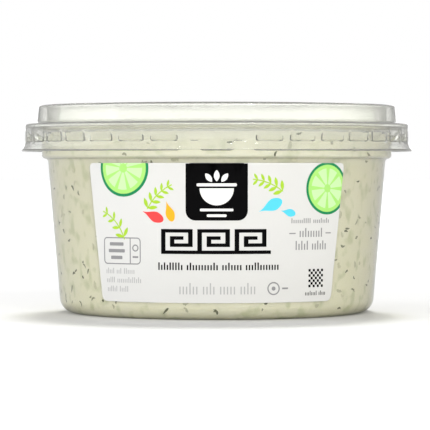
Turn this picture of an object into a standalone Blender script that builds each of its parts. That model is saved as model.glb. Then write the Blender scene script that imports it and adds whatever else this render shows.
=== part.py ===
"""A shut, clear, round tub of tzatziki dip: tub, press-fit lid, front label and the dip inside.

Metres, +Z up. The origin is on the tub's axis, at the foot. The label faces -Y.
Every turned piece comes from one list of radius and height, set by the dimensions below.
"""

from math import atan, atan2, cos, degrees, hypot, pi, radians, sin, sqrt

import bmesh
import bpy

MM = 0.001

# The tub's outside
FOOT_INNER = 36.5 * MM
FLOOR_RISE = 1.0 * MM
WALL_AT_FOOT = 43.5 * MM
WALL_SLOPE = 0.0896
FOOT_ROUND = 4.2 * MM
BAND_RADIUS = 48.85 * MM
BAND_BOTTOM = 42.8 * MM
BAND_ROUND = 1.15 * MM
RIM_RADIUS = 52.7 * MM
RIM_BOTTOM = 50.45 * MM
RIM_TOP = 51.55 * MM
RIM_ROUND = 0.35 * MM
TUB_WALL = 0.6 * MM
BAND_ARC_STEPS = 2

# The lid's outside
PANEL_TOP = 52.35 * MM
CROWN_INNER = 47.0 * MM
CROWN_OUTER_TOP = 49.85 * MM
CROWN_OUTER_FOOT = 50.2 * MM
CROWN_TOP = 57.6 * MM
CROWN_ROUND = 0.6 * MM
CROWN_DRAFT = 0.1 * MM
FLANGE_TOP = 53.0 * MM
SKIRT_RADIUS = 53.5 * MM
SKIRT_TOP = 52.5 * MM
SKIRT_ROUND = 0.5 * MM
FLARE_RADIUS = 54.6 * MM
FLARE_TOP = 46.7 * MM
FLARE_STEP = 0.15 * MM
SKIRT_BOTTOM = 45.35 * MM
LID_WALL = 0.45 * MM

# The pockets pressed into the skirt, which clip under the rim
POCKETS = 36
POCKET_TOP = 50.2 * MM
POCKET_LEDGE = 47.95 * MM
LEDGE_BOTTOM = 47.7 * MM
POCKET_DEPTH = 1.7 * MM
RIB_HALF_ANGLE = radians(1.35)
RIB_SIDE_ANGLE = radians(1.1)

# The plain stretch at the front, with its lift tab
PLAIN_HALF_ANGLE = radians(9.5)
TAB_HALF_ANGLE = radians(4.0)
PLAIN_POCKET_SHARE = 0.35

# The dip and the label
GAP = 0.3 * MM
DIP_LEVEL = 50.1 * MM
SWIRL_HEIGHT = 0.45 * MM
SWIRL_TURNS = 2.5
DIP_TOP_RINGS = 6
LABEL_BOTTOM = 4.65 * MM
LABEL_TOP = 41.6 * MM
LABEL_HALF_ANGLE_BOTTOM = radians(43.3)
LABEL_HALF_ANGLE_TOP = radians(46.0)
LABEL_CORNER = 1.6 * MM
LABEL_THICKNESS = 0.25 * MM
CORNER_ROW_SHARE = 0.3

# Fineness of the meshes, and how near counts as the same place
TURNED_STEPS = 56
COLUMNS_PER_POCKET = 4
ARC_STEPS = 4
LABEL_COLUMNS = 16
LABEL_ROWS_BETWEEN = 3
WELD = 0.001 * MM
NEAR = 0.01 * MM
SHARP_ANGLE = radians(35)

WALL_ANGLE = atan(WALL_SLOPE)


def clear_scene():
    for obj in list(bpy.data.objects):
        bpy.data.objects.remove(obj, do_unlink=True)


def material(name, colour, roughness, transmission=0.0):
    made = bpy.data.materials.new(name)
    made.use_nodes = True
    shader = made.node_tree.nodes["Principled BSDF"]
    shader.inputs["Base Color"].default_value = (*colour, 1.0)
    shader.inputs["Roughness"].default_value = roughness
    shader.inputs["Metallic"].default_value = 0.0
    shader.inputs["Transmission Weight"].default_value = transmission
    return made


def add_object(name, bm, collection, finish):
    """Puts the finished mesh in an object of its own and shades it smooth."""
    mesh = bpy.data.meshes.new(name)
    bm.to_mesh(mesh)
    bm.free()
    mesh.materials.append(finish)
    mesh.shade_smooth()
    mesh.set_sharp_from_angle(angle=SHARP_ANGLE)
    obj = bpy.data.objects.new(name, mesh)
    collection.objects.link(obj)
    return obj


def arc(centre_r, centre_z, radius, start, end, steps):
    """Points of (radius, height) on a round from angle start to angle end."""
    turn = (end - start) / steps
    angles = [start + turn * i for i in range(steps + 1)]
    return [(centre_r + radius * cos(a), centre_z + radius * sin(a)) for a in angles]


def wall_radius(z, inset=0.0):
    return WALL_AT_FOOT + WALL_SLOPE * z - inset / cos(WALL_ANGLE)


def tub_side(inset):
    """The tub's outline from the middle of its floor up to its rim, moved inwards by inset."""
    foot_round_r = wall_radius(FOOT_ROUND) - FOOT_ROUND / cos(WALL_ANGLE)
    step_z = BAND_BOTTOM + inset
    points = [
        (0.0, FLOOR_RISE + inset),
        (FOOT_INNER - FLOOR_RISE, FLOOR_RISE + inset),
        (FOOT_INNER, inset),
    ]
    points += arc(foot_round_r, FOOT_ROUND, FOOT_ROUND - inset, -pi / 2, -WALL_ANGLE, ARC_STEPS)
    points.append((wall_radius(step_z, inset), step_z))
    band_r, band_z = BAND_RADIUS - BAND_ROUND, BAND_BOTTOM + BAND_ROUND
    points += arc(band_r, band_z, BAND_ROUND - inset, -pi / 2, 0.0, BAND_ARC_STEPS)
    points.append((BAND_RADIUS - inset, RIM_BOTTOM - 2 * RIM_ROUND))
    return points


def tub_profile():
    """Up the inside, over the rim and down the outside, as a turned shell needs it."""
    inside = tub_side(TUB_WALL)
    rim = [
        (BAND_RADIUS - TUB_WALL + RIM_ROUND, RIM_TOP),
        (RIM_RADIUS - RIM_ROUND, RIM_TOP),
        (RIM_RADIUS, RIM_TOP - RIM_ROUND),
        (RIM_RADIUS, RIM_BOTTOM + RIM_ROUND),
        (RIM_RADIUS - RIM_ROUND, RIM_BOTTOM),
        (BAND_RADIUS + RIM_ROUND, RIM_BOTTOM),
    ]
    return inside + rim + list(reversed(tub_side(0.0)))


def swirl(radius, angle, reach):
    """Height of the spooned swirl on the dip: a spiral ridge that fades at the middle and the wall."""
    share = radius / reach
    wave = cos(angle - 2 * pi * SWIRL_TURNS * share)
    return SWIRL_HEIGHT * wave * sin(pi * min(share, 1.0))


def turned(profile, steps):
    """A profile in the XZ plane spun once round Z, with its pole and seam merged."""
    bm = bmesh.new()
    line = [bm.verts.new((r, 0.0, z)) for r, z in profile]
    edges = [bm.edges.new(pair) for pair in zip(line, line[1:])]
    bmesh.ops.spin(
        bm,
        geom=line + edges,
        axis=(0, 0, 1),
        cent=(0, 0, 0),
        angle=2 * pi,
        steps=steps,
        use_merge=True,
    )
    bmesh.ops.remove_doubles(bm, verts=bm.verts[:], dist=WELD)
    bmesh.ops.recalc_face_normals(bm, faces=bm.faces[:])
    return bm


def build_tub(collection):
    finish = material("clear plastic", (0.95, 0.96, 0.94), 0.12, 0.9)
    add_object("tub", turned(tub_profile(), TURNED_STEPS), collection, finish)


def build_dip(collection):
    """The dip fills the tub up to its level, and its top carries the swirl."""
    side = tub_side(TUB_WALL + GAP)
    reach = side[-1][0]
    side[-1] = (reach, DIP_LEVEL)
    top = [(reach * i / DIP_TOP_RINGS, DIP_LEVEL) for i in range(DIP_TOP_RINGS)]
    bm = turned(top + list(reversed(side)), TURNED_STEPS)
    for vert in bm.verts:
        if vert.co.z > DIP_LEVEL - NEAR:
            radius = hypot(vert.co.x, vert.co.y)
            vert.co.z += swirl(radius, atan2(vert.co.y, vert.co.x), reach)
    add_object("dip", bm, collection, material("dip", (0.80, 0.79, 0.66), 0.45))


def lid_profile():
    """The lid's upper side, from the middle of its panel out and down to the flare's edge."""
    return [
        (0.0, PANEL_TOP),
        (CROWN_INNER, PANEL_TOP),
        (CROWN_INNER + CROWN_DRAFT, CROWN_TOP - CROWN_ROUND),
        (CROWN_INNER + CROWN_DRAFT + CROWN_ROUND, CROWN_TOP),
        (CROWN_OUTER_TOP - CROWN_ROUND, CROWN_TOP),
        (CROWN_OUTER_TOP, CROWN_TOP - CROWN_ROUND),
        (CROWN_OUTER_FOOT, FLANGE_TOP),
        (SKIRT_RADIUS - SKIRT_ROUND, SKIRT_TOP),
        (SKIRT_RADIUS, SKIRT_TOP - SKIRT_ROUND),
        (SKIRT_RADIUS, POCKET_TOP),
        (SKIRT_RADIUS, POCKET_LEDGE),
        (SKIRT_RADIUS, LEDGE_BOTTOM),
        (SKIRT_RADIUS + FLARE_STEP, FLARE_TOP),
        (FLARE_RADIUS, SKIRT_BOTTOM),
    ]


def column_angle(column):
    """Two columns bound each rib and two bound the full depth of each pocket."""
    pocket, place = divmod(column, COLUMNS_PER_POCKET)
    pitch = 2 * pi / POCKETS
    full_depth = RIB_HALF_ANGLE + RIB_SIDE_ANGLE
    offsets = (-RIB_HALF_ANGLE, RIB_HALF_ANGLE, full_depth, pitch - full_depth)
    return pocket * pitch + offsets[place]


def from_front(angle):
    """Angle away from the front, -Y, between 0 and pi."""
    return abs((angle + pi / 2 + pi) % (2 * pi) - pi)


def press_lid(vert, column):
    """Moves one point of the turned lid to its column, with its pocket, flare and tab."""
    radius = hypot(vert.co.x, vert.co.y)
    angle = column_angle(column) - pi / 2
    front = from_front(angle)
    plain = front < PLAIN_HALF_ANGLE
    in_pocket = column % COLUMNS_PER_POCKET >= 2
    if in_pocket and abs(vert.co.z - POCKET_LEDGE) < NEAR:
        radius -= POCKET_DEPTH * (PLAIN_POCKET_SHARE if plain else 1.0)
    if plain and front > TAB_HALF_ANGLE and radius > SKIRT_RADIUS:
        radius = SKIRT_RADIUS
    vert.co.x = radius * cos(angle)
    vert.co.y = radius * sin(angle)


def build_lid(collection):
    """A thin pressed sheet: crown ring, sunk panel, flange, and a skirt with clip pockets."""
    steps = POCKETS * COLUMNS_PER_POCKET
    bm = turned(lid_profile(), steps)
    for vert in bm.verts:
        if hypot(vert.co.x, vert.co.y) > NEAR:
            turn = atan2(vert.co.y, vert.co.x) % (2 * pi)
            press_lid(vert, round(turn / (2 * pi) * steps) % steps)
    bmesh.ops.recalc_face_normals(bm, faces=bm.faces[:])
    lid = add_object("lid", bm, collection, material("lid plastic", (0.95, 0.96, 0.95), 0.1, 0.9))
    shell = lid.modifiers.new("wall", "SOLIDIFY")
    shell.thickness = LID_WALL
    shell.offset = -1.0


def label_rows(height):
    """Heights above the label's lower edge, with extra rows through the rounded corners."""
    corner = [0.0, CORNER_ROW_SHARE * LABEL_CORNER, LABEL_CORNER]
    spaces = LABEL_ROWS_BETWEEN + 1
    middle = [height * row / spaces for row in range(1, spaces)]
    return corner + middle + [height - z for z in reversed(corner)]


def corner_inset(z, height):
    """How far the rounded corner pulls the label's side in at this height."""
    edge = min(z, height - z)
    if edge >= LABEL_CORNER:
        return 0.0
    return LABEL_CORNER - sqrt(LABEL_CORNER**2 - (LABEL_CORNER - edge) ** 2)


def build_label(collection):
    """A thin sheet with rounded corners, bent round the front of the sloping wall."""
    height = LABEL_TOP - LABEL_BOTTOM
    rows = label_rows(height)
    bm = bmesh.new()
    bmesh.ops.create_grid(bm, x_segments=LABEL_COLUMNS, y_segments=len(rows) - 1, size=1.0)
    for vert in bm.verts:
        row = round((vert.co.y + 1) / 2 * (len(rows) - 1))
        z = LABEL_BOTTOM + rows[row]
        radius = wall_radius(z) + GAP + LABEL_THICKNESS
        share = rows[row] / height
        spread = LABEL_HALF_ANGLE_BOTTOM + share * (LABEL_HALF_ANGLE_TOP - LABEL_HALF_ANGLE_BOTTOM)
        spread -= corner_inset(rows[row], height) / radius
        angle = vert.co.x * spread
        vert.co = (radius * sin(angle), -radius * cos(angle), z)
    label = add_object("label", bm, collection, material("label", (0.82, 0.82, 0.81), 0.5))
    sheet = label.modifiers.new("thickness", "SOLIDIFY")
    sheet.thickness = LABEL_THICKNESS
    sheet.offset = -1.0


def main():
    clear_scene()
    collection = bpy.data.collections.new("tub of tzatziki dip")
    bpy.context.scene.collection.children.link(collection)
    build_tub(collection)
    build_dip(collection)
    build_lid(collection)
    build_label(collection)
    print("wall slope", round(degrees(WALL_ANGLE), 2), "degrees;", len(collection.objects), "pieces")


main()
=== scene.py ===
# %% [markdown]
# # A tub of tzatziki dip
# This lesson dresses a finished model of a shut, clear, round tub of tzatziki: the tub, its press-fit lid,
# the printed label on its front and the pale dip behind the clear wall. The model's solids give every size
# and place. The cells below make the finer surfaces, the flecks of herb, the print and the finishes.

# %% Load the frame
import random
from math import atan, atan2, cos, hypot, pi, radians, sin, sqrt

import bmesh
import bpy
from mathutils import Matrix, Vector, noise


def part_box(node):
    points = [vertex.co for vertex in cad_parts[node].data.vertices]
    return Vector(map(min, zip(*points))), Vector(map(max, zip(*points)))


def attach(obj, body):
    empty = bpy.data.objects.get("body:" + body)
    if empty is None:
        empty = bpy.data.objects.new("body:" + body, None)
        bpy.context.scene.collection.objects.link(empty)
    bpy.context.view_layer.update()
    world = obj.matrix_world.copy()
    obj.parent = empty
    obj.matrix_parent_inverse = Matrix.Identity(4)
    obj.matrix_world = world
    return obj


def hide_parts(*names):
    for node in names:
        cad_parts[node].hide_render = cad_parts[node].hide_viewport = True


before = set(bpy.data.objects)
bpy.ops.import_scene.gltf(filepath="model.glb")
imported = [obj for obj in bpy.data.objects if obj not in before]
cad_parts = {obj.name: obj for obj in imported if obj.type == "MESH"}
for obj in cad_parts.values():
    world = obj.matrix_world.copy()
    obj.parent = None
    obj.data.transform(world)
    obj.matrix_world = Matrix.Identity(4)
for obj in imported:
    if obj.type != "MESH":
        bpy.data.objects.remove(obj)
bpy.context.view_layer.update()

# %% [markdown]
# ## Measures
# The tub and the lid are pressed from thin plastic sheet, so a few radii and heights say all there is to
# say. They are real sizes, kept here in millimetres and turned into metres by one factor. The foot, the
# sloping wall, the wider band under the rim and the rim itself follow one another from the floor up.

# %% Sizes of the tub, the lid and the label
MM = 0.001
tub_low, tub_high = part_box("tub")
lid_low, lid_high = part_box("lid")
label_low, label_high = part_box("label")

FOOT_INNER = 36.5 * MM
FLOOR_RISE = 1.0 * MM
WALL_AT_FOOT = 43.5 * MM
WALL_SLOPE = 0.0896
WALL_ANGLE = atan(WALL_SLOPE)
FOOT_ROUND = 4.2 * MM
BAND_RADIUS = 48.85 * MM
BAND_BOTTOM = 42.8 * MM
BAND_ROUND = 1.15 * MM
RIM_RADIUS = 52.7 * MM
RIM_TOP = tub_high.z
RIM_BOTTOM = RIM_TOP - 1.1 * MM
RIM_ROUND = 0.45 * MM
TUB_WALL = 0.6 * MM

LID_WALL = 0.45 * MM
PANEL_TOP = 52.35 * MM
CROWN_TOP = lid_high.z
SKIRT_RADIUS = 53.5 * MM
FLARE_RADIUS = lid_high.x
SKIRT_BOTTOM = lid_low.z
LABEL_BOTTOM = label_low.z
LABEL_TOP = label_high.z
print("tub rim at", round(RIM_TOP / MM, 2), "mm, lid top at", round(CROWN_TOP / MM, 2), "mm")

# %% [markdown]
# ## Turned shapes
# Tub, lid and dip were all round in the mould, so each begins as a line of points beside the axis, spun
# once round it. A round corner is a short run of points on an arc. Spinning leaves a seam and a pole,
# which are merged, and the normals are then made to agree before anything gets a wall.

# %% Helpers that turn a profile
def arc(centre_r, centre_z, radius, start, end, steps):
    """Points of (radius, height) on a round corner, from angle start to angle end."""
    turn = (end - start) / steps
    return [
        (centre_r + radius * cos(start + turn * i), centre_z + radius * sin(start + turn * i))
        for i in range(steps + 1)
    ]


AXIS = {"cent": (0, 0, 0), "axis": (0, 0, 1)}


def turned(profile, steps):
    bm = bmesh.new()
    line = [bm.verts.new((r, 0.0, z)) for r, z in profile]
    edges = [bm.edges.new(pair) for pair in zip(line, line[1:])]
    bmesh.ops.spin(bm, geom=line + edges, steps=steps, angle=2 * pi, use_merge=True, **AXIS)
    bmesh.ops.remove_doubles(bm, verts=bm.verts[:], dist=0.0005 * MM)
    bmesh.ops.recalc_face_normals(bm, faces=bm.faces[:])
    return bm


def wall_radius(z, inset=0.0):
    return WALL_AT_FOOT + WALL_SLOPE * z - inset / cos(WALL_ANGLE)


# %% [markdown]
# ## Pieces
# Every piece is one object that stands at the origin, with its place in its mesh. It is smooth shaded with
# sharp edges kept, and rides on the one body of this part.

# %% One way to add a piece
def add_object(name, bm, finish):
    mesh = bpy.data.meshes.new(name)
    bm.to_mesh(mesh)
    bm.free()
    mesh.materials.append(finish)
    holder = bpy.data.objects.new(name, mesh)
    bpy.context.scene.collection.objects.link(holder)
    return holder


def add_piece(name, bm, finish, replaces=(), sharp=35):
    piece = add_object(name, bm, finish)
    piece.data.shade_smooth()
    piece.data.set_sharp_from_angle(angle=radians(sharp))
    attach(piece, "root")
    if replaces:
        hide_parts(*replaces)
    print(name, len(piece.data.polygons), "faces")
    return piece


# %% [markdown]
# ## Many small shapes in one piece
# Hundreds of flecks or printed shapes belong to one piece each. Every shape is made alone and then poured
# into the piece's mesh, which stays quick however many there are.

# %% Pour one mesh into another
def join(whole, part):
    holder = bpy.data.meshes.new("holder")
    part.to_mesh(holder)
    part.free()
    whole.from_mesh(holder)
    bpy.data.meshes.remove(holder)


# %% [markdown]
# ## Colours
# Colours are easiest to judge as the 0 to 255 values of a screen, while a shader works in linear light.
# This helper converts one to the other.

# %% Screen colour to linear light
def screen(red, green, blue):
    def linear(value):
        share = value / 255
        return share / 12.92 if share <= 0.04045 else ((share + 0.055) / 1.055) ** 2.4
    return (linear(red), linear(green), linear(blue), 1.0)


# %% [markdown]
# ## Shared unevenness
# Pressed plastic, printed film and the dip are all a little uneven, each at its own scale. One node group
# holds two noises, and gives back their blend as a mask, and the broad one alone. Copying the nodes into
# each material would do too, but one group keeps them in step.

# %% The unevenness group
def make_unevenness():
    group = bpy.data.node_groups.new("soft unevenness", "ShaderNodeTree")
    face = group.interface
    for name, value in (("Broad Scale", 60.0), ("Fine Scale", 900.0), ("Fine Share", 0.3)):
        socket = face.new_socket(name, in_out="INPUT", socket_type="NodeSocketFloat")
        socket.default_value = value
    face.new_socket("Mask", in_out="OUTPUT", socket_type="NodeSocketFloat")
    face.new_socket("Broad", in_out="OUTPUT", socket_type="NodeSocketFloat")
    nodes, links = group.nodes, group.links
    entry = nodes.new("NodeGroupInput")
    leave = nodes.new("NodeGroupOutput")
    place = nodes.new("ShaderNodeTexCoord")
    broad = nodes.new("ShaderNodeTexNoise")
    fine = nodes.new("ShaderNodeTexNoise")
    blend = nodes.new("ShaderNodeMix")
    for noises, detail, scale in ((broad, 2.0, "Broad Scale"), (fine, 3.0, "Fine Scale")):
        noises.inputs["Detail"].default_value = detail
        links.new(place.outputs["Object"], noises.inputs["Vector"])
        links.new(entry.outputs[scale], noises.inputs["Scale"])
    links.new(entry.outputs["Fine Share"], blend.inputs["Factor"])
    links.new(broad.outputs["Fac"], blend.inputs["A"])
    links.new(fine.outputs["Fac"], blend.inputs["B"])
    links.new(blend.outputs["Result"], leave.inputs["Mask"])
    links.new(broad.outputs["Fac"], leave.inputs["Broad"])
    return group


UNEVENNESS = make_unevenness()
print("shared group:", UNEVENNESS.name)

# %% [markdown]
# ## Wiring a material
# Every finish is built alike: the shared mask moves a colour between two near ones, stretches the roughness
# and raises a fine bump. A few helpers do the wiring, so that a material reads as its own few choices.

# %% Helpers that wire a material
def new_material(name):
    made = bpy.data.materials.new(name)
    made.use_nodes = True
    return made, made.node_tree, made.node_tree.nodes["Principled BSDF"]


def add_unevenness(tree, broad, fine, share):
    node = tree.nodes.new("ShaderNodeGroup")
    node.node_tree = UNEVENNESS
    node.inputs["Broad Scale"].default_value = broad
    node.inputs["Fine Scale"].default_value = fine
    node.inputs["Fine Share"].default_value = share
    return node


def map_range(tree, value, limits):
    """Maps a value from its first two limits on to its last two, and gives back the output socket."""
    span = tree.nodes.new("ShaderNodeMapRange")
    for socket, limit in zip(("From Min", "From Max", "To Min", "To Max"), limits):
        span.inputs[socket].default_value = limit
    tree.links.new(value, span.inputs["Value"])
    return span.outputs["Result"]


def vary(tree, source, low, high, target):
    """Stretches a 0 to 1 value to low..high and feeds it to a socket."""
    tree.links.new(map_range(tree, source, (0.0, 1.0, low, high)), target)


# Where the colour sockets stand on a Mix node
MIX_FIRST, MIX_SECOND, MIX_RESULT = 6, 7, 2


def colour_mix(tree, factor, first, second):
    """A colour between two, each given as a colour or as a socket."""
    node = tree.nodes.new("ShaderNodeMix")
    node.data_type = "RGBA"
    tree.links.new(factor, node.inputs["Factor"])
    for socket, value in ((node.inputs[MIX_FIRST], first), (node.inputs[MIX_SECOND], second)):
        if isinstance(value, tuple):
            socket.default_value = value
        else:
            tree.links.new(value, socket)
    return node.outputs[MIX_RESULT]


def add_bump(tree, height, strength, distance, shader):
    bump = tree.nodes.new("ShaderNodeBump")
    bump.inputs["Strength"].default_value = strength
    bump.inputs["Distance"].default_value = distance
    tree.links.new(height, bump.inputs["Height"])
    tree.links.new(bump.outputs["Normal"], shader.inputs["Normal"])


# %% [markdown]
# ## Clear plastic
# The tub and lid are thin clear sheet. Real light reaches the dip through the wall, but a path tracer finds
# that hard: a shadow ray stops at glass. So the material turns transparent for shadow rays alone and stays
# true refracting plastic for all others. Where the sheet turns away from the eye, light runs a long way
# through it, so Layer Weight mixes in a dark edge tint there, and Volume Absorption gives the cream cast of
# its depth. The mould leaves broad waves and a little haze, which the shared unevenness draws.

# %% Make the clear plastics
CLEAR_TINT = (0.986, 0.991, 0.978, 1.0)
HAZE_TINT = (0.974, 0.979, 0.962, 1.0)
PLASTIC_IOR = 1.49
WAVE_DEPTH = 0.6 * MM
SHADOW_BLUE = 0.985


def edge_tinted(tree, surface, edge, narrowness):
    """The surface tint, turning into the edge tint where the sheet is seen at a steep angle."""
    slant = tree.nodes.new("ShaderNodeLayerWeight")
    slant.inputs["Blend"].default_value = 0.5
    steep = tree.nodes.new("ShaderNodeMath")
    steep.operation = "POWER"
    steep.inputs[1].default_value = narrowness
    tree.links.new(slant.outputs["Facing"], steep.inputs[0])
    return colour_mix(tree, steep.outputs["Value"], surface, edge)


def clear_to_shadows(tree, shader, shade):
    """Swaps the shader for a transparent one, a little dimmed, on shadow rays alone."""
    path = tree.nodes.new("ShaderNodeLightPath")
    clear = tree.nodes.new("ShaderNodeBsdfTransparent")
    clear.inputs["Color"].default_value = (shade, shade, SHADOW_BLUE * shade, 1.0)
    choose = tree.nodes.new("ShaderNodeMixShader")
    tree.links.new(path.outputs["Is Shadow Ray"], choose.inputs["Fac"])
    tree.links.new(shader.outputs["BSDF"], choose.inputs[1])
    tree.links.new(clear.outputs["BSDF"], choose.inputs[2])
    return choose.outputs["Shader"]


def clear_plastic(name, clearness, roughness, wave, edge, narrowness, depth, density, shade):
    made, tree, shader = new_material(name)
    uneven = add_unevenness(tree, broad=55.0, fine=700.0, share=0.25)
    surface = colour_mix(tree, uneven.outputs["Mask"], HAZE_TINT, CLEAR_TINT)
    tint = edge_tinted(tree, surface, edge, narrowness)
    tree.links.new(tint, shader.inputs["Base Color"])
    shader.inputs["Transmission Weight"].default_value = clearness
    shader.inputs["IOR"].default_value = PLASTIC_IOR
    vary(tree, uneven.outputs["Mask"], *roughness, shader.inputs["Roughness"])
    add_bump(tree, uneven.outputs["Broad"], wave, WAVE_DEPTH, shader)
    leave = tree.nodes["Material Output"]
    tree.links.new(clear_to_shadows(tree, shader, shade), leave.inputs["Surface"])
    cast = tree.nodes.new("ShaderNodeVolumeAbsorption")
    cast.inputs["Color"].default_value = depth
    cast.inputs["Density"].default_value = density
    tree.links.new(cast.outputs["Volume"], leave.inputs["Volume"])
    return made


tub_plastic = clear_plastic(
    "clear tub plastic",
    clearness=0.985,
    roughness=(0.07, 0.18),
    wave=0.25,
    edge=(0.05, 0.05, 0.03, 1.0),
    narrowness=3.8,
    depth=(0.54, 0.53, 0.36, 1.0),
    density=270.0,
    shade=0.98,
)
lid_plastic = clear_plastic(
    "clear lid plastic",
    clearness=0.91,
    roughness=(0.03, 0.09),
    wave=0.3,
    edge=(0.03, 0.03, 0.01, 1.0),
    narrowness=7.0,
    depth=(0.56, 0.56, 0.44, 1.0),
    density=200.0,
    shade=0.96,
)
print("clear plastics made:", tub_plastic.name, "and", lid_plastic.name)

# %% [markdown]
# ## The tub
# A pressed tub has an even wall, so its inside is its outside moved in by the wall's thickness. A Solidify
# modifier could do that, but the rolled rim is thicker than the wall. So one function gives the outline at
# any inset, and the profile runs up the inside, over the rim and down the outside. The many steps round the
# axis keep the refraction smooth.

# %% Build the tub
STEP_REACH, STEP_DROP = 0.25 * MM, 0.6 * MM


def tub_side(inset, foot_steps=10, band_steps=6):
    """Outline from the middle of the floor up to the rim, moved inwards by inset."""
    foot_r = wall_radius(FOOT_ROUND) - FOOT_ROUND / cos(WALL_ANGLE)
    step_z = BAND_BOTTOM + inset
    points = [
        (0.0, FLOOR_RISE + inset),
        (FOOT_INNER - 1.4 * FLOOR_RISE, FLOOR_RISE + inset),
        (FOOT_INNER - 0.9 * FLOOR_RISE, 0.9 * FLOOR_RISE + inset),
        (FOOT_INNER, inset),
    ]
    points += arc(foot_r, FOOT_ROUND, FOOT_ROUND - inset, -pi / 2, -WALL_ANGLE, foot_steps)
    points.append((wall_radius(step_z, inset) - STEP_REACH, step_z - STEP_DROP))
    points.append((wall_radius(step_z, inset) + STEP_REACH, step_z))
    band_r, band_z = BAND_RADIUS - BAND_ROUND, BAND_BOTTOM + BAND_ROUND
    points += arc(band_r, band_z, BAND_ROUND - inset, -pi / 2, 0.0, band_steps)
    points.append((BAND_RADIUS - inset, RIM_BOTTOM - RIM_ROUND))
    return points


def tub_profile():
    rim = arc(BAND_RADIUS - TUB_WALL + RIM_ROUND, RIM_TOP - RIM_ROUND, RIM_ROUND, pi, pi / 2, 5)
    rim += arc(RIM_RADIUS - RIM_ROUND, RIM_TOP - RIM_ROUND, RIM_ROUND, pi / 2, 0.0, 5)
    rim += arc(RIM_RADIUS - RIM_ROUND, RIM_BOTTOM + RIM_ROUND, RIM_ROUND, 0.0, -pi / 2, 5)
    rim += [(BAND_RADIUS + RIM_ROUND, RIM_BOTTOM)]
    return tub_side(TUB_WALL) + rim + list(reversed(tub_side(0.0)))


TUB_STEPS = 256
add_piece("tub_shell", turned(tub_profile(), TUB_STEPS), tub_plastic, ["tub"])

# %% [markdown]
# ## The lid
# The lid is one pressed sheet: a sunk panel, a hollow stacking ring round it, a flat flange and a skirt. The
# skirt has a row of pockets that clip under the tub's rim, then a ledge and a flared edge, which stops at
# the front where the lift tab is. Pockets could be cut one by one, but a rule of the angle round the axis
# says how deep each point is pressed, and so makes all of them and the tab at once.

# %% The lid's rules
POCKETS = 36
COLUMNS_PER_POCKET = 16
POCKET_TOP = 51.2 * MM
POCKET_LEDGE = 47.85 * MM
POCKET_DEPTH = 1.7 * MM
RIB_HALF_ANGLE = radians(1.2)
RIB_SIDE_ANGLE = radians(1.0)
PLAIN_HALF_ANGLE = radians(9.9)
TAB_HALF_ANGLE = radians(4.2)
EDGE_ANGLE = radians(0.6)


def smooth_step(value, low, high):
    share = min(max((value - low) / (high - low), 0.0), 1.0)
    return share * share * (3 - 2 * share)


def from_front(angle):
    """Angle away from the front, -Y, between 0 and pi."""
    return abs((angle + pi / 2 + pi) % (2 * pi) - pi)


def pocket_share(angle):
    """0 on a rib, 1 over a pocket, less in the plain stretch at the front."""
    pitch = 2 * pi / POCKETS
    off_rib = abs((angle + pi / 2 + pitch / 2) % pitch - pitch / 2)
    share = smooth_step(off_rib, RIB_HALF_ANGLE, RIB_HALF_ANGLE + RIB_SIDE_ANGLE)
    return share * (0.15 if from_front(angle) < PLAIN_HALF_ANGLE else 1.0)


def flare_share(angle):
    """1 where the edge flares out: all round but for the plain stretch, and again on the tab."""
    front = from_front(angle)
    beyond = smooth_step(front, PLAIN_HALF_ANGLE, PLAIN_HALF_ANGLE + EDGE_ANGLE)
    on_tab = 1 - smooth_step(front, TAB_HALF_ANGLE, TAB_HALF_ANGLE + EDGE_ANGLE)
    return max(beyond, on_tab)


# %% [markdown]
# ## The lid's sheet
# The sheet's upper side is turned from its outline. Down the skirt the outline has rows of points at the
# heights of the pockets and the flare, for the rules to press. Solidify then gives the sheet its wall.

# %% The lid's upper side
PANEL_EDGE, PANEL_ROUND = 47.0 * MM, 1.1 * MM
RING_INSIDE, RING_INNER_ROUND = 47.1 * MM, 0.65 * MM
RING_OUTSIDE, RING_OUTER_ROUND = 49.85 * MM, 0.7 * MM
RING_FOOT, FOOT_HEIGHT, FOOT_CORNER = 50.2 * MM, 52.85 * MM, 0.3 * MM
FLANGE_TOP, FLANGE_ROUND = 52.5 * MM, 0.6 * MM
FLARE_TOP = 46.9 * MM
POCKET_ROWS = 9
FLARE_ROWS = 5


def crown_profile():
    """The sunk panel's edge, the stacking ring round it, and the flange's rounded edge."""
    inner_r, outer_r = RING_INSIDE + RING_INNER_ROUND, RING_OUTSIDE - RING_OUTER_ROUND
    foot_r, edge_r = RING_FOOT + FOOT_CORNER, SKIRT_RADIUS - FLANGE_ROUND
    points = arc(PANEL_EDGE - PANEL_ROUND, PANEL_TOP + PANEL_ROUND, PANEL_ROUND, -pi / 2, 0.0, 6)
    points += arc(inner_r, CROWN_TOP - RING_INNER_ROUND, RING_INNER_ROUND, pi, pi / 2, 6)
    points += arc(outer_r, CROWN_TOP - RING_OUTER_ROUND, RING_OUTER_ROUND, pi / 2, 0.0, 6)
    points += arc(foot_r, FOOT_HEIGHT + FOOT_CORNER, FOOT_CORNER, pi, 1.55 * pi, 4)
    points += arc(edge_r, FLANGE_TOP - FLANGE_ROUND, FLANGE_ROUND, 0.45 * pi, 0.0, 6)
    return points


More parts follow.
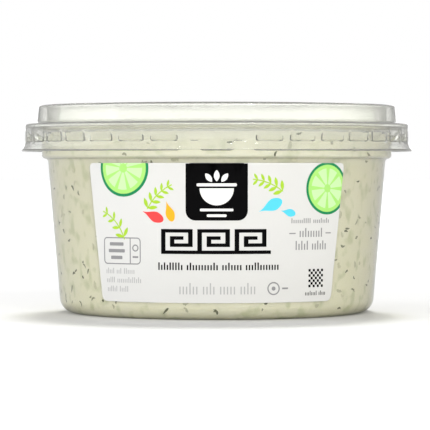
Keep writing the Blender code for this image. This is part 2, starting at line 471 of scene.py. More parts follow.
def lid_profile():
    points = [(0.0, PANEL_TOP), (30 * MM, PANEL_TOP)] + crown_profile()
    points.append((SKIRT_RADIUS, POCKET_TOP + 0.1 * MM))
    for i in range(POCKET_ROWS + 1):
        points.append((SKIRT_RADIUS, POCKET_TOP + (POCKET_LEDGE - POCKET_TOP) * i / POCKET_ROWS))
    points += [(SKIRT_RADIUS, POCKET_LEDGE - 0.12 * MM), (SKIRT_RADIUS, POCKET_LEDGE - 0.3 * MM)]
    for i in range(FLARE_ROWS + 1):
        drop = i / FLARE_ROWS
        out = (FLARE_RADIUS - SKIRT_RADIUS) * (0.1 + 0.9 * drop**1.5)
        points.append((SKIRT_RADIUS + out, FLARE_TOP + (SKIRT_BOTTOM - FLARE_TOP) * drop))
    return points


def press_skirt(vert):
    """Moves one point of the skirt in for its pocket, or in from the flare at the front."""
    radius = hypot(vert.co.x, vert.co.y)
    angle = atan2(vert.co.y, vert.co.x)
    if POCKET_LEDGE - 0.13 * MM < vert.co.z <= POCKET_TOP:
        down = (POCKET_TOP - vert.co.z) / (POCKET_TOP - POCKET_LEDGE)
        radius -= POCKET_DEPTH * min(down, 1.0) ** 1.7 * pocket_share(angle)
    if vert.co.z < POCKET_LEDGE - 0.4 * MM:
        plain = SKIRT_RADIUS + 0.05 * MM
        radius = plain + (radius - plain) * flare_share(angle)
    vert.co.x = radius * cos(angle)
    vert.co.y = radius * sin(angle)


# %% Build the lid
def build_lid():
    bm = turned(lid_profile(), POCKETS * COLUMNS_PER_POCKET)
    for vert in bm.verts:
        if vert.co.z < POCKET_TOP + 0.01 * MM:
            press_skirt(vert)
    bmesh.ops.recalc_face_normals(bm, faces=bm.faces[:])
    lid = add_piece("lid_shell", bm, lid_plastic, ["lid"], sharp=50)
    wall = lid.modifiers.new("wall", "SOLIDIFY")
    wall.thickness = LID_WALL
    wall.offset = -1.0
    return lid


build_lid()

# %% [markdown]
# ## The dip's finish
# Tzatziki is strained yoghurt with grated cucumber and chopped dill. It is creamy white with a green-yellow
# cast. Two noises give the broad drift of colour and the small curds, and long soft patches stand for shreds
# of cucumber just under the surface. Two fades on its height mix in a lighter cream for the band under the
# rim and for the top: this is painted light, standing in for the brighter light that falls on them. A little
# subsurface light keeps it from looking like plaster.

# %% Make the dip's material
CREAM_LIGHT = screen(242, 240, 222)
CREAM_DEEP = screen(233, 231, 205)
# Painted light: a lighter cream for the band under the rim and for the top, where more light falls.
CREAM_PAINTED_LIGHT = screen(252, 252, 244)
CUCUMBER = screen(206, 210, 176)
SHRED_SCALE = 330.0
SHRED_RANGE = (0.54, 0.72, 0.0, 0.75)
DIP_LEVEL = 50.1 * MM
BAND_PAINTED_LIGHT_FADE = (40.5 * MM, 43.5 * MM, 0.0, 0.3)
TOP_PAINTED_LIGHT_FADE = (47.0 * MM, 49.0 * MM, 0.0, 0.7)


def cucumber_shreds(tree, place):
    """A mask of long soft patches, stretched upwards and turned a little."""
    turn = tree.nodes.new("ShaderNodeMapping")
    turn.inputs["Scale"].default_value = (1.0, 1.0, 0.75)
    turn.inputs["Rotation"].default_value = (0.5, 0.3, 0.0)
    shreds = tree.nodes.new("ShaderNodeTexNoise")
    shreds.inputs["Scale"].default_value = SHRED_SCALE
    shreds.inputs["Detail"].default_value = 1.0
    tree.links.new(place.outputs["Object"], turn.inputs["Vector"])
    tree.links.new(turn.outputs["Vector"], shreds.inputs["Vector"])
    return map_range(tree, shreds.outputs["Fac"], SHRED_RANGE)


def dip_material():
    made, tree, shader = new_material("tzatziki")
    place = tree.nodes.new("ShaderNodeTexCoord")
    uneven = add_unevenness(tree, broad=90.0, fine=1400.0, share=0.35)
    colour = colour_mix(tree, uneven.outputs["Mask"], CREAM_DEEP, CREAM_LIGHT)
    colour = colour_mix(tree, cucumber_shreds(tree, place), colour, CUCUMBER)
    height = tree.nodes.new("ShaderNodeSeparateXYZ")
    tree.links.new(place.outputs["Object"], height.inputs["Vector"])
    # Painted light: the band under the rim and the top are faded towards the lighter cream.
    for fade in (BAND_PAINTED_LIGHT_FADE, TOP_PAINTED_LIGHT_FADE):
        colour = colour_mix(tree, map_range(tree, height.outputs["Z"], fade), colour, CREAM_PAINTED_LIGHT)
    tree.links.new(colour, shader.inputs["Base Color"])
    vary(tree, uneven.outputs["Mask"], 0.32, 0.5, shader.inputs["Roughness"])
    add_bump(tree, uneven.outputs["Mask"], 0.35, 0.3 * MM, shader)
    shader.inputs["Subsurface Weight"].default_value = 0.15
    shader.inputs["Subsurface Radius"].default_value = (1.2 * MM, 1.1 * MM, 0.8 * MM)
    shader.inputs["Subsurface Scale"].default_value = 1.0
    return made


tzatziki = dip_material()
print("dip finish:", tzatziki.name)

# %% [markdown]
# ## The dip
# The dip is pressed against the wall by its own weight, so its side is the tub's outline again, reaching a
# little into the wall so that no film of air shows. Its top keeps the swirl of the filling spout, with small
# lumps, and meets the wall at an uneven line.

# %% Build the dip
DIP_REACH = 0.3 * MM
DIP_BAND_RADIUS = BAND_RADIUS - TUB_WALL + DIP_REACH
SWIRL_HEIGHT = 0.45 * MM
SWIRL_TURNS = 2.5
LUMP_HEIGHT, LUMP_SCALE = 0.3 * MM, 180
EDGE_HEIGHT, EDGE_SCALE = 0.45 * MM, 3.5
DIP_TOP_RINGS = 44


def dip_top(x, y):
    """Height of the dip's top at a place: swirl, lumps, and an uneven rim."""
    share = min(hypot(x, y) / DIP_BAND_RADIUS, 1.0)
    angle = atan2(y, x)
    ridge = SWIRL_HEIGHT * cos(angle - 2 * pi * SWIRL_TURNS * share) * sin(pi * share)
    lumps = LUMP_HEIGHT * noise.noise(Vector((x, y, 0.0)) * LUMP_SCALE)
    rim = EDGE_HEIGHT * share**6 * noise.noise(Vector((cos(angle), sin(angle), 2.0)) * EDGE_SCALE)
    return DIP_LEVEL + ridge + lumps * (1 - 0.6 * share) + rim


def build_dip():
    side = tub_side(TUB_WALL - DIP_REACH)
    reach = side[-1][0]
    side[-1] = (reach, DIP_LEVEL - 0.6 * MM)
    top = [(reach * i / DIP_TOP_RINGS, DIP_LEVEL) for i in range(DIP_TOP_RINGS + 1)]
    bm = turned(top + list(reversed(side)), TUB_STEPS)
    for vert in bm.verts:
        if vert.co.z > DIP_LEVEL - 0.01 * MM:
            vert.co.z = dip_top(vert.co.x, vert.co.y)
    return add_piece("dip_body", bm, tzatziki, ["dip"], sharp=80)


build_dip()

# %% [markdown]
# ## Dill
# Chopped dill shows as short, thin, bent strands, dark where a strand touches the wall and paler the deeper
# it lies. Each strand's depth is stored as a colour attribute, which the material turns from dark green into
# the dip's own colour. That is quicker and cleaner than strands sunk in real cream.

# %% Make the dill's material
DILL_DARK = screen(52, 56, 32)
DILL_GREEN = screen(92, 100, 56)


def dill_material():
    made, tree, shader = new_material("dill")
    depth = tree.nodes.new("ShaderNodeAttribute")
    depth.attribute_name = "depth"
    uneven = add_unevenness(tree, broad=800.0, fine=3000.0, share=0.4)
    leaf = colour_mix(tree, uneven.outputs["Mask"], DILL_DARK, DILL_GREEN)
    colour = colour_mix(tree, depth.outputs["Fac"], leaf, CREAM_DEEP)
    tree.links.new(colour, shader.inputs["Base Color"])
    vary(tree, uneven.outputs["Mask"], 0.4, 0.6, shader.inputs["Roughness"])
    add_bump(tree, uneven.outputs["Mask"], 0.3, 0.1 * MM, shader)
    return made


dill = dill_material()
print("dill finish:", dill.name)

# %% [markdown]
# ## One strand
# A strand is a small ball, stretched, tapered and bent along its length, and laid flat on the dip. A curve
# could draw it with fewer points, but a mesh takes the depth's colour attribute.

# %% Lay one strand
def add_strand(sheaf, centre, along, outward, size, bend, depth):
    """A bent, tapered strand at centre. size is its length, width and thickness."""
    along = (along - outward * along.dot(outward)).normalized()
    across = outward.cross(along)
    turn = Matrix((along, across, outward)).transposed().to_4x4()
    strand = bmesh.new()
    bmesh.ops.create_uvsphere(strand, u_segments=6, v_segments=6, radius=0.5)
    length, width, thick = size
    for vert in strand.verts:
        y, z, x = vert.co
        taper = 1 - 0.6 * (x + 0.5)
        bow = bend * length * (4 * x * x - 0.5)
        vert.co = Vector((x * length, y * width * taper + bow, z * thick))
    bmesh.ops.transform(strand, matrix=Matrix.Translation(centre) @ turn, verts=strand.verts[:])
    paint = strand.loops.layers.float_color.new("depth")
    for face in strand.faces:
        for loop in face.loops:
            loop[paint] = (depth, depth, depth, 1.0)
    join(sheaf, strand)


# %% [markdown]
# ## Scattered strands
# Most strands fall at random on the side, the top and the underside, from a fixed seed, so that the tub is
# always the same one. Some get a smaller strand as a fork. Two that the photo shows behind the lid's skirt
# are listed and laid one by one.

# %% Scatter the dill
DILL_SEED = 340
WALL_STRANDS = 480
TOP_STRANDS = 200
FLOOR_STRANDS = 120
STRAND_THICKNESS = 0.2 * MM
DEEP = 0.6
FORK_CHANCE = 0.3
TOP_REACH = 46 * MM
FLOOR_REACH = 34 * MM
# across, up, length and width, in millimetres
SEEN_STRANDS = ((3.6, 47.1, 2.1, 1.1), (21.6, 49.4, 1.8, 0.8))


def strand_size(draw, depth):
    """Strands near the wall are thin and sharp, and deep ones are seen as broad pale patches."""
    length = draw.uniform(0.8, 2.0) * MM * (1.5 if draw.random() < 0.12 else 1.0)
    width = draw.uniform(0.6, 1.1) * MM
    if depth > DEEP:
        length, width = 1.3 * length, 1.9 * width
    return length, width, STRAND_THICKNESS


def wall_place(draw):
    """A place on the dip's side, with the direction that faces out there."""
    angle = draw.uniform(0, 2 * pi)
    z = draw.uniform(2.0, DIP_LEVEL / MM - 1.0) * MM
    out = Vector((cos(angle), sin(angle), -WALL_SLOPE)).normalized()
    radius = wall_radius(z, TUB_WALL - DIP_REACH)
    foot_r = wall_radius(FOOT_ROUND) - FOOT_ROUND / cos(WALL_ANGLE)
    if z < FOOT_ROUND:
        inner = FOOT_ROUND - TUB_WALL + DIP_REACH
        rise = min(max((FOOT_ROUND - z) / inner, 0.0), 0.98)
        level = sqrt(1 - rise * rise)
        radius = foot_r + inner * level
        out = Vector((cos(angle) * level, sin(angle) * level, -rise))
    if z > BAND_BOTTOM + 0.3 * MM:
        radius = DIP_BAND_RADIUS
        z = max(z, BAND_BOTTOM + BAND_ROUND)
        out = Vector((cos(angle), sin(angle), 0.0))
    return Vector((radius * cos(angle), radius * sin(angle), z)), out


def flat_place(draw, reach, height, up):
    radius, angle = reach * sqrt(draw.random()), draw.uniform(0, 2 * pi)
    x, y = radius * cos(angle), radius * sin(angle)
    return Vector((x, y, height(x, y))), Vector((0, 0, up))


def build_dill():
    draw = random.Random(DILL_SEED)
    sheaf = bmesh.new()
    places = [wall_place(draw) for _ in range(WALL_STRANDS)]
    places += [flat_place(draw, TOP_REACH, dip_top, 1.0) for _ in range(TOP_STRANDS)]
    floor_z = FLOOR_RISE + TUB_WALL - DIP_REACH
    places += [flat_place(draw, FLOOR_REACH, lambda x, y: floor_z, -1.0) for _ in range(FLOOR_STRANDS)]
    for centre, out in places:
        depth = 0.9 * draw.random() ** 1.1
        along = Vector((draw.gauss(0, 1), draw.gauss(0, 1), draw.gauss(0, 0.8)))
        size = strand_size(draw, depth)
        add_strand(sheaf, centre, along, out, size, draw.uniform(-0.3, 0.3), depth)
        if draw.random() < FORK_CHANCE:
            side = along + Vector((draw.gauss(0, 1), draw.gauss(0, 1), draw.gauss(0, 1)))
            fork = centre + along.normalized() * 0.3 * size[0]
            small = (0.6 * size[0], 0.8 * size[1], size[2])
            add_strand(sheaf, fork - out * out.dot(fork - centre), side, out, small, 0.2, depth)
    for x, z, length, width in SEEN_STRANDS:
        centre = Vector((x * MM, -sqrt(DIP_BAND_RADIUS**2 - (x * MM) ** 2), z * MM))
        out = Vector((centre.x, centre.y, 0.0)).normalized()
        size = (length * MM, width * MM, STRAND_THICKNESS)
        add_strand(sheaf, centre, Vector((1.0, 0.0, 0.25)), out, size, 0.1, 0.0)
    return add_piece("dill", sheaf, dill)


build_dill()

# %% [markdown]
# ## The label
# The label is a white film with rounded corners, stuck round the front of the wall. It is drawn flat, in
# across and up, and then bent: across becomes an angle round the axis and up becomes height. A grid with
# bevelled corner points makes the outline, and straight cuts through it give it the columns that bend.

# %% Bend flat shapes on to the wall
LABEL_LIFT = 0.02 * MM
LABEL_THICKNESS = 0.09 * MM
LABEL_HALF_TOP = 38.0 * MM
LABEL_HALF_BOTTOM = 33.6 * MM
LABEL_CORNER = 1.6 * MM
BEND_STEP = 1.2 * MM


def cut(bm, place, normal, clear=False):
    geometry = bm.verts[:] + bm.edges[:] + bm.faces[:]
    bmesh.ops.bisect_plane(bm, geom=geometry, plane_co=place, plane_no=normal, clear_outer=clear)


def cut_columns(bm, step=BEND_STEP):
    """Cuts a flat shape along upright lines, so that it can follow the round wall."""
    low = min(v.co.x for v in bm.verts)
    high = max(v.co.x for v in bm.verts)
    count = int((high - low) / step)
    for i in range(1, count + 1):
        cut(bm, (low + (high - low) * i / (count + 1), 0, 0), (1, 0, 0))


def thicken(bm, thickness):
    """Gives a flat shape its thickness, with the old faces kept as its underside."""
    for face in bm.faces:
        if face.normal.z > 0:
            face.normal_flip()
    grown = bmesh.ops.extrude_face_region(bm, geom=bm.faces[:], use_keep_orig=True)
    moved = [item for item in grown["geom"] if isinstance(item, bmesh.types.BMVert)]
    bmesh.ops.translate(bm, verts=moved, vec=(0, 0, thickness))
    bmesh.ops.recalc_face_normals(bm, faces=bm.faces[:])


def bend_on_wall(bm, lift):
    for vert in bm.verts:
        across, up, out = vert.co
        z = LABEL_BOTTOM + up
        radius = wall_radius(z) + lift + out
        angle = across / wall_radius(z)
        vert.co = (radius * sin(angle), -radius * cos(angle), z)


# %% [markdown]
# ## The film
# The film is matt white plastic, faintly mottled. A picture on the wall would have no edge, so the film is a
# solid about a tenth of a millimetre thick, and its edge catches light as the real one does.

# %% Make the label's film
LABEL_WHITE = screen(221, 221, 219)
LABEL_GREY = screen(214, 214, 213)


def film_material():
    made, tree, shader = new_material("label film")
    uneven = add_unevenness(tree, broad=70.0, fine=2600.0, share=0.5)
    colour = colour_mix(tree, uneven.outputs["Mask"], LABEL_GREY, LABEL_WHITE)
    tree.links.new(colour, shader.inputs["Base Color"])
    vary(tree, uneven.outputs["Mask"], 0.42, 0.58, shader.inputs["Roughness"])
    add_bump(tree, uneven.outputs["Mask"], 0.08, 0.1 * MM, shader)
    shader.inputs["Specular IOR Level"].default_value = 0.3
    return made


def round_corners(bm, corner, segments):
    style = {"profile": 0.5, "affect": "VERTICES", "material": -1}
    bmesh.ops.bevel(bm, geom=bm.verts[:], offset=corner, segments=segments, **style)


def build_label():
    bm = bmesh.new()
    bmesh.ops.create_grid(bm, x_segments=1, y_segments=1, size=1.0)
    height = LABEL_TOP - LABEL_BOTTOM
    for vert in bm.verts:
        half = LABEL_HALF_TOP if vert.co.y > 0 else LABEL_HALF_BOTTOM
        vert.co = (half * vert.co.x, height if vert.co.y > 0 else 0.0, 0.0)
    round_corners(bm, LABEL_CORNER, 8)
    cut_columns(bm, 1.0 * MM)
    thicken(bm, LABEL_THICKNESS)
    bend_on_wall(bm, LABEL_LIFT)
    return add_piece("label_film", bm, film_material(), ["label"])


build_label()

# %% [markdown]
# ## Inks
# The print is flat ink on the film. A drawn image could carry it, but each ink is one piece of very thin
# shapes, a few hundredths of a millimetre proud, so that its edges stay crisp from any distance. An ink is
# never quite even, so a fine noise moves its colour and gloss a little.

# %% Make the inks
INK_COLOURS = {
    "black": (3, 3, 4),
    "white": (240, 240, 238),
    "rind_green": (34, 132, 84),
    "pale_green": (166, 224, 118),
    "mist_green": (196, 234, 172),
    "twig_green": (166, 206, 58),
    "red": (236, 74, 74),
    "orange": (244, 176, 44),
    "blue": (88, 208, 232),
    "grey": (142, 142, 144),
    "light_grey": (176, 176, 177),
}


def ink_material(name, colour):
    made, tree, shader = new_material("ink " + name)
    uneven = add_unevenness(tree, broad=300.0, fine=5000.0, share=0.6)
    worn = tuple(min(255, c + 6) for c in colour)
    mixed = colour_mix(tree, uneven.outputs["Mask"], screen(*colour), screen(*worn))
    tree.links.new(mixed, shader.inputs["Base Color"])
    vary(tree, uneven.outputs["Mask"], 0.5, 0.65, shader.inputs["Roughness"])
    add_bump(tree, uneven.outputs["Mask"], 0.1, 0.05 * MM, shader)
    shader.inputs["Specular IOR Level"].default_value = 0.06
    return made


INK_THICKNESS = 0.012 * MM
sheets = {name: bmesh.new() for name in INK_COLOURS}


def stamp(ink, shape, layer=0):
    """Prints one flat shape in an ink. A higher layer lies on top of a lower one."""
    cut_columns(shape)
    thicken(shape, INK_THICKNESS)
    bend_on_wall(shape, LABEL_LIFT + LABEL_THICKNESS + (0.004 + 0.018 * layer) * MM)
    join(sheets[ink], shape)


print("inks:", ", ".join(sheets))

# %% [markdown]
# ## Shapes to print
# All the print is made from a handful of plain shapes: a bar with round corners, a disc, a ring, a leaf, a
# drop, a wedge and a curved stroke. Each comes from a grid, a circle or a spun edge, moved to its place on
# the flat label. Sizes are in millimetres, across from the label's middle and up from its lower edge.

# %% Flat shapes
def placed(bm, x, y, turn=0.0):
    spot = Matrix.Translation((x * MM, y * MM, 0)) @ Matrix.Rotation(radians(turn), 4, "Z")
    bmesh.ops.transform(bm, matrix=spot @ Matrix.Scale(MM, 4), verts=bm.verts[:])
    return bm


def bar(x, y, width, height, corner=0.0, turn=0.0):
    bm = bmesh.new()
    bmesh.ops.create_grid(bm, x_segments=1, y_segments=1, size=0.5)
    bmesh.ops.scale(bm, vec=(width, height, 1), verts=bm.verts[:])
    if corner:
        round_corners(bm, corner, 6)
    return placed(bm, x, y, turn)


def disc(x, y, radius, turn=0.0):
    bm = bmesh.new()
    bmesh.ops.create_circle(bm, cap_ends=True, segments=48, radius=radius)
    return placed(bm, x, y, turn)


def ring(x, y, outer, inner):
    bm = bmesh.new()
    for radius in (outer, inner):
        bmesh.ops.create_circle(bm, cap_ends=False, segments=48, radius=radius)
    bmesh.ops.bridge_loops(bm, edges=bm.edges[:])
    return placed(bm, x, y)


def leaf(x, y, length, width, turn):
    """An ellipse drawn out to a point at both ends."""
    bm = bmesh.new()
    bmesh.ops.create_circle(bm, cap_ends=True, segments=32, radius=0.5)
    for vert in bm.verts:
        waist = (1 - (2 * vert.co.x) ** 2 + 1e-6) ** 0.4
        vert.co = Vector((vert.co.x * length, vert.co.y * width * waist, 0))
    return placed(bm, x, y, turn)


def drop(x, y, length, width, turn):
    """A disc drawn out to a point at one end."""
    bm = bmesh.new()
    bmesh.ops.create_circle(bm, cap_ends=True, segments=32, radius=0.5)
    for vert in bm.verts:
        narrow = 1 - 0.9 * smooth_step(vert.co.x, -0.2, 0.5)
        vert.co = Vector((vert.co.x * length, vert.co.y * width * narrow, 0))
    return placed(bm, x, y, turn)


def wedge(x, y, inner, outer, start, sweep):
    """A stretch of a ring, spun from one edge: a segment of a wheel, or a curved stroke."""
    bm = bmesh.new()
    ends = [bm.verts.new((r * cos(radians(start)), r * sin(radians(start)), 0)) for r in (inner, outer)]
    edge = bm.edges.new(ends)
    steps = max(3, int(abs(sweep) / 7))
    bmesh.ops.spin(bm, geom=ends + [edge], steps=steps, angle=radians(sweep), **AXIS)
    bmesh.ops.recalc_face_normals(bm, faces=bm.faces[:])
    return placed(bm, x, y)


# %% [markdown]
# ## Trimmed shapes
# A round motif that runs off the label is cut at the label's edge. The cut is a bisecting plane with its
# outer side cleared, once for the top edge and once for each slanting side.

# %% Trim a shape to the label
def trimmed(bm, margin=0.05 * MM):
    height = LABEL_TOP - LABEL_BOTTOM
    slant = Vector((height, LABEL_HALF_BOTTOM - LABEL_HALF_TOP, 0)).normalized()
    planes = [((0, height - margin, 0), (0, 1, 0))]
    for side in (-1, 1):
        edge = (side * (LABEL_HALF_BOTTOM - margin), 0, 0)
        planes.append((edge, (side * slant.x, slant.y, 0)))
    for place, normal in planes:
        cut(bm, place, normal, clear=True)
    return bm


# %% [markdown]
# ## The dark panel
# A dark panel hangs from the label's top edge. It holds a plain bowl with three leaves over it and two short
# bars, all in white, as a picture of what is in the tub.

# %% Print the dark panel
def print_panel():
    stamp("black", trimmed(bar(0.0, 29.6, 16.4, 15.6, 2.6)))
    stamp("black", bar(0.0, 35.2, 16.4, 3.2))
    stamp("white", wedge(0.0, 30.3, 0.0, 4.5, 180, 180), 1)
    stamp("white", bar(0.0, 31.2, 10.6, 0.8, 0.38), 1)
    stamp("white", leaf(0.0, 33.6, 3.0, 1.5, 90), 1)
    stamp("white", leaf(-2.1, 33.1, 2.8, 1.4, 128), 1)
    stamp("white", leaf(2.1, 33.1, 2.8, 1.4, 52), 1)
    stamp("white", bar(0.0, 24.6, 8.8, 0.7, 0.3), 1)
    stamp("white", bar(0.0, 23.1, 5.2, 0.7, 0.3), 1)


print_panel()

# %% [markdown]
# ## Fruit wheels
# Two cut fruits, one running off the top edge and one off the right side, bring the fresh green. A wheel is
# a dark rind, a pale disc, and wedges set round its middle with even gaps.

# %% Print the wheels
def print_wheel(x, y, radius, wedges, turn):
    stamp("rind_green", trimmed(ring(x, y, radius, 0.9 * radius)))
    stamp("pale_green", trimmed(disc(x, y, 0.9 * radius)))
    pitch = 360 / wedges
    for i in range(wedges):
        segment = trimmed(wedge(x, y, 0.16 * radius, 0.76 * radius, turn + i * pitch, 0.72 * pitch))
        if segment.faces:
            stamp("mist_green", segment, 1)


print_wheel(-26.0, 35.6, 7.6, 9, 12)
print_wheel(31.8, 30.2, 7.0, 8, 5)

# %% [markdown]
# ## Twigs and petals
# Thin curved stems carry small paired leaves in yellow-green, and a few drops in red, orange and blue sit
# beside them. A stem is a curved stroke, and its leaves are set along the same circle.

# %% Print the twigs
def print_twig(x, y, radius, start, sweep, pairs):
    stamp("twig_green", wedge(x, y, radius - 0.16, radius + 0.16, start, sweep))
    for i in range(pairs):
        share = (i + 0.6) / pairs
        angle = start + sweep * share
        size = 2.9 - 1.1 * share
        for side in (-1, 1):
            reach = radius + side * 0.42 * size
            px = x + reach * cos(radians(angle))
            py = y + reach * sin(radians(angle))
            tilt = angle + 90 + side * (-52 if sweep > 0 else 52) + (180 if sweep < 0 else 0)
            stamp("twig_green", leaf(px, py, size, 0.36 * size, tilt))


print_twig(-6.0, 18.0, 14.5, 152, -38, 5)
print_twig(8.5, 17.5, 15.2, 52, 34, 5)
print_twig(-37.0, 13.0, 11.8, 18, 52, 4)

# %% Print the petals
PETALS = (
    ("red", -17.2, 23.0, 6.4, 3.0, 158),
    ("orange", -12.6, 24.2, 5.6, 2.6, 108),
    ("blue", 14.4, 25.6, 7.0, 3.4, 205),
    ("blue", 19.4, 23.9, 4.4, 2.2, 168),
)
for petal_ink, *petal in PETALS:
    stamp(petal_ink, drop(*petal), 1)

# %% [markdown]
# ## The key pattern
# In the middle stands a band of the old Greek key, in solid black. One turn of the key is a small plan of
# filled squares. A grid of squares is made once, the ones that the plan leaves open are deleted, and the
# rest is the band, however often the plan repeats.

# %% Print the key band
KEY_PLAN = (
    "#######.",
    "#.....#.",
    "#.###.#.",
    "#.#...#.",
    "#.#####.",
    "#.......",
    "########",
)


def key_band(x, y, width, height, turns):
    rows, columns = len(KEY_PLAN), len(KEY_PLAN[0])
    bm = bmesh.new()
    bmesh.ops.create_grid(bm, x_segments=columns * turns, y_segments=rows, size=0.5)
    empty = []
    for face in bm.faces:
        middle = face.calc_center_median()
        column = int((middle.x + 0.5) * columns * turns)
        row = rows - 1 - int((middle.y + 0.5) * rows)
        if KEY_PLAN[row][column % columns] == ".":
            empty.append(face)
    bmesh.ops.delete(bm, geom=empty, context="FACES")
    bmesh.ops.scale(bm, vec=(width, height, 1), verts=bm.verts[:])
    return placed(bm, x, y)


stamp("black", key_band(-0.2, 16.25, 29.4, 6.6, 3))

# %% [markdown]
# ## Small print
# A real label is full of small print. Here it is only its grey texture: rows of short upright strokes in
# groups, with heights drawn from a seed. They spell nothing.

# %% Print the rows of strokes
def print_row(ink, left, right, y, height, pitch, gaps, seed, thick=0.42):
    """Strokes from left to right. gaps are the places, as shares, where a group ends."""
    draw = random.Random(seed)
    count = int((right - left) / pitch)
    breaks = {int(share * count) for share in gaps}
    for i in range(count):
        tall = height * draw.choice((0.68, 0.68, 1.0))
        if i not in breaks:
            stamp(ink, bar(left + (i + 0.5) * pitch, y + tall / 2, thick * pitch, tall))


print_row("black", -15.9, 16.9, 8.7, 2.0, 0.78, (0.22, 0.52, 0.7), 5, 0.5)
print_row("light_grey", -10.2, 10.6, 2.3, 3.0, 0.9, (0.3, 0.52, 0.78), 7, 0.36)
print_row("light_grey", -32.2, -22.2, 7.5, 1.5, 0.6, (0.35, 0.6), 11, 0.4)
print_row("light_grey", -32.0, -20.4, 5.1, 1.5, 0.6, (0.3,), 12, 0.4)
print_row("light_grey", -31.8, -24.4, 2.7, 1.5, 0.6, (0.5,), 13, 0.4)
print_row("grey", 20.2, 32.6, 21.0, 1.3, 0.62, (0.5,), 17, 0.42)
print_row("grey", 22.6, 30.4, 17.3, 2.4, 0.86, (), 18, 0.42)
print_row("grey", 21.4, 31.8, 13.9, 2.4, 0.86, (0.45,), 19, 0.42)
print_row("black", 24.6, 31.6, 1.7, 1.2, 0.5, (0.6,), 23, 0.4)

# %% [markdown]
# ## Small marks
# An outlined box stands at the left, a ring with a dot near the foot, and a small chequered square at the
# right. All are plain marks that give the corners of the label their weight.

# %% Print the small marks
def frame_box(x, y, width, height, line):
    """An outline: a rounded plate with its middle inset and taken out."""
    bm = bar(x, y, width, height, 1.1)
    edges = {"use_boundary": True, "use_even_offset": True}
    bmesh.ops.inset_region(bm, faces=bm.faces[:], thickness=line * MM, **edges)
    middle = max(bm.faces, key=lambda face: face.calc_area())
    bmesh.ops.delete(bm, geom=[middle], context="FACES")
    return bm


def print_marks():
    stamp("grey", frame_box(-26.8, 13.6, 12.0, 7.2, 0.3))
    stamp("grey", bar(-24.0, 13.6, 0.3, 6.6))
    for row, width in enumerate((4.6, 5.4, 3.8)):
        stamp("grey", bar(-28.4, 15.4 - 1.8 * row, width, 0.9, 0.2), 1)
    stamp("grey", ring(-22.4, 14.4, 0.95, 0.62), 1)
    stamp("grey", bar(-22.4, 12.0, 1.7, 0.5), 1)
    stamp("grey", ring(15.3, 3.75, 1.75, 1.4))
    stamp("grey", disc(15.3, 3.75, 0.55))
    stamp("grey", bar(18.6, 3.75, 1.7, 0.45))
    stamp("grey", bar(20.7, 18.3, 1.9, 0.3))
    stamp("grey", bar(32.3, 18.3, 1.9, 0.3))


def print_chequers(x, y, size, cells):
    cell = size / cells
    for row in range(cells):
        for column in range(cells):
            if (row + column) % 2 == 0:
                px = x + (column - cells / 2 + 0.5) * cell
                py = y + (row - cells / 2 + 0.5) * cell
                stamp("black", bar(px, py, 0.98 * cell, 0.98 * cell))


print_marks()
print_chequers(28.2, 6.3, 4.9, 7)

# %% [markdown]
# ## The finished print
# By now every shape lies in the mesh of its ink. They become pieces only here, one for each ink, so that the
# part gains eleven pieces and not hundreds.

# %% Lay the inks down
for ink_name, sheet in sheets.items():
    add_piece("print_" + ink_name, sheet, ink_material(ink_name, INK_COLOURS[ink_name]))

# %% [markdown]
# ## The table
# The tub stands on a plain white table that runs out into a white studio. A photographer lights the backdrop
# apart from the tub, so the table does the same: the camera sees it lighter than the plastics and the dip
# do, and its own glow grows with distance. It still takes a soft shadow.

# %% Make the table
TABLE_GREY = (0.71, 0.71, 0.71, 1.0)
TABLE_WHITE = (0.73, 0.73, 0.73, 1.0)
TABLE_FOR_OTHERS = (0.62, 0.62, 0.62, 1.0)
GLOW_RANGE = (0.12, 0.4, 0.07, 0.35)


def table_glow(tree, seen):
    """The table's own light: more with distance, and for the camera alone."""
    place = tree.nodes.new("ShaderNodeTexCoord")
    far = tree.nodes.new("ShaderNodeVectorMath")
    far.operation = "LENGTH"
    glow = tree.nodes.new("ShaderNodeMath")
    glow.operation = "MULTIPLY"
    tree.links.new(place.outputs["Object"], far.inputs[0])
    tree.links.new(map_range(tree, far.outputs["Value"], GLOW_RANGE), glow.inputs[0])
    tree.links.new(seen, glow.inputs[1])
    return glow.outputs["Value"]


def table_material():
    made, tree, shader = new_material("white table")
    uneven = add_unevenness(tree, broad=6.0, fine=120.0, share=0.3)
    white = colour_mix(tree, uneven.outputs["Mask"], TABLE_GREY, TABLE_WHITE)
    seen = tree.nodes.new("ShaderNodeLightPath").outputs["Is Camera Ray"]
    tree.links.new(colour_mix(tree, seen, TABLE_FOR_OTHERS, white), shader.inputs["Base Color"])
    shader.inputs["Roughness"].default_value = 0.9
    shader.inputs["Emission Color"].default_value = (1.0, 1.0, 1.0, 1.0)
    tree.links.new(table_glow(tree, seen), shader.inputs["Emission Strength"])
    return made


def build_table():
    bm = bmesh.new()
    bmesh.ops.create_grid(bm, x_segments=4, y_segments=4, size=6.0)
    table = add_object("table", bm, table_material())


build_table()

# %% [markdown]
# ## The room
# The world looks pure white to the camera. To all other rays it is a grey room with a bright patch in a
# narrow cone behind the tub, as a lit backdrop is. The patch shines through the clear walls, and the grey
# round it draws thin dark lines along their edges.

# %% Set the world
BACKDROP_RANGE = (0.965, 0.992, 0.5, 1.95)


def set_world():
    world = bpy.data.worlds.new("studio")
    bpy.context.scene.world = world
    world.use_nodes = True
    tree = world.node_tree
    nodes, links = tree.nodes, tree.links
    background = nodes["Background"]
    place = nodes.new("ShaderNodeTexCoord")
    apart = nodes.new("ShaderNodeSeparateXYZ")
    path = nodes.new("ShaderNodeLightPath")
    strength = nodes.new("ShaderNodeMix")
    strength.inputs["B"].default_value = 1.0
    links.new(place.outputs["Generated"], apart.inputs["Vector"])
    links.new(map_range(tree, apart.outputs["Y"], BACKDROP_RANGE), strength.inputs["A"])
    links.new(path.outputs["Is Camera Ray"], strength.inputs["Factor"])
    links.new(strength.outputs["Result"], background.inputs["Strength"])
    background.inputs["Color"].default_value = (1.0, 1.0, 1.0, 1.0)


set_world()
print("world:", bpy.context.scene.world.name)

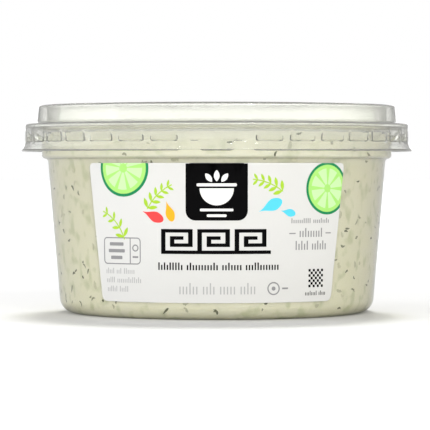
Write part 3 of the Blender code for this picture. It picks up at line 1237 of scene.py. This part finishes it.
# %% [markdown]
# ## Lamps
# A broad light high behind gives the soft shadow in front. It is hidden from reflections and from rays
# through the plastic: the clear walls let its shadow rays pass, and its light would count twice. A low front
# box, a left one and a warm right one light the dip and leave no trace on the plastic. Two wide sheen boxes
# and a small one for the flange are there for the plastic to reflect.

# %% Hang the lamps
MIDDLE = Vector((0.0, 0.0, 0.03))


def hang(name, lamp, towards, glossy):
    """A lamp that shines on the tub from a direction."""
    holder = bpy.data.objects.new(name, lamp)
    holder.rotation_euler = (-Vector(towards)).to_track_quat("-Z", "Y").to_euler()
    holder.visible_glossy = glossy
    holder.visible_transmission = glossy
    bpy.context.scene.collection.objects.link(holder)
    return holder


def sky_lamp(name, towards, angle, strength):
    lamp = bpy.data.lights.new(name, "SUN")
    lamp.angle = radians(angle)
    lamp.energy = strength
    hang(name, lamp, towards, False)


def soft_box(name, place, size, watts, colour=(1.0, 1.0, 1.0), glossy=False):
    lamp = bpy.data.lights.new(name, "AREA")
    lamp.color = colour
    lamp.shape = "RECTANGLE"
    lamp.size, lamp.size_y = size
    lamp.energy = watts
    holder = hang(name, lamp, Vector(place) - MIDDLE, glossy)
    holder.location = place
    holder.visible_camera = False


WARM, AMBER = (1.0, 0.9, 0.58), (1.0, 0.86, 0.5)
sky_lamp("high back light", (0.05, 0.5, 1.0), 11, 2.35)
soft_box("low front box", (0.2, -1.4, 0.1), (1.6, 0.3), 12.4)
soft_box("left side box", (-1.2, -0.1, 0.2), (0.6, 0.5), 4.9)
soft_box("left sheen box", (-1.2, 0.05, 0.3), (1.2, 1.0), 3.0, glossy=True)
soft_box("warm right box", (0.6, -1.1, 0.3), (0.8, 0.5), 1.6, WARM)
soft_box("right sheen box", (1.2, 0.05, 0.3), (1.2, 1.0), 0.6, AMBER, glossy=True)
soft_box("flange glint box", (0.28, -0.82, 0.5), (0.15, 0.16), 1.1, glossy=True)
print("lamps hung:", len(bpy.data.lights))

# %% [markdown]
# ## Camera
# The photo was taken from just below the lid's height and fairly far off, with a long lens. The camera is
# set at that distance and height, and aimed a little down, so that no lens shift is needed.

# %% Set the camera
CAMERA_DISTANCE = 0.7353
CAMERA_HEIGHT = 0.04105
FOCAL_PIXELS = 2626.0
FRAME_PIXELS = 430.0
SENSOR_WIDTH = 36.0
AIM = Vector((-0.00048, 0.0, 0.02705))


def set_camera():
    lens = bpy.data.cameras.new("camera")
    lens.sensor_width = SENSOR_WIDTH
    lens.lens = FOCAL_PIXELS / FRAME_PIXELS * SENSOR_WIDTH
    lens.clip_start = 0.01
    lens.clip_end = 50.0
    camera = bpy.data.objects.new("camera", lens)
    camera.location = (0.0, -CAMERA_DISTANCE, CAMERA_HEIGHT)
    camera.rotation_euler = (AIM - camera.location).to_track_quat("-Z", "Y").to_euler()
    bpy.context.scene.collection.objects.link(camera)
    bpy.context.scene.camera = camera
    print("camera", CAMERA_DISTANCE, "m off, lens", round(lens.lens), "mm")


set_camera()
bpy.context.scene.view_settings.view_transform = "Standard"
bpy.context.scene.view_settings.look = "None"
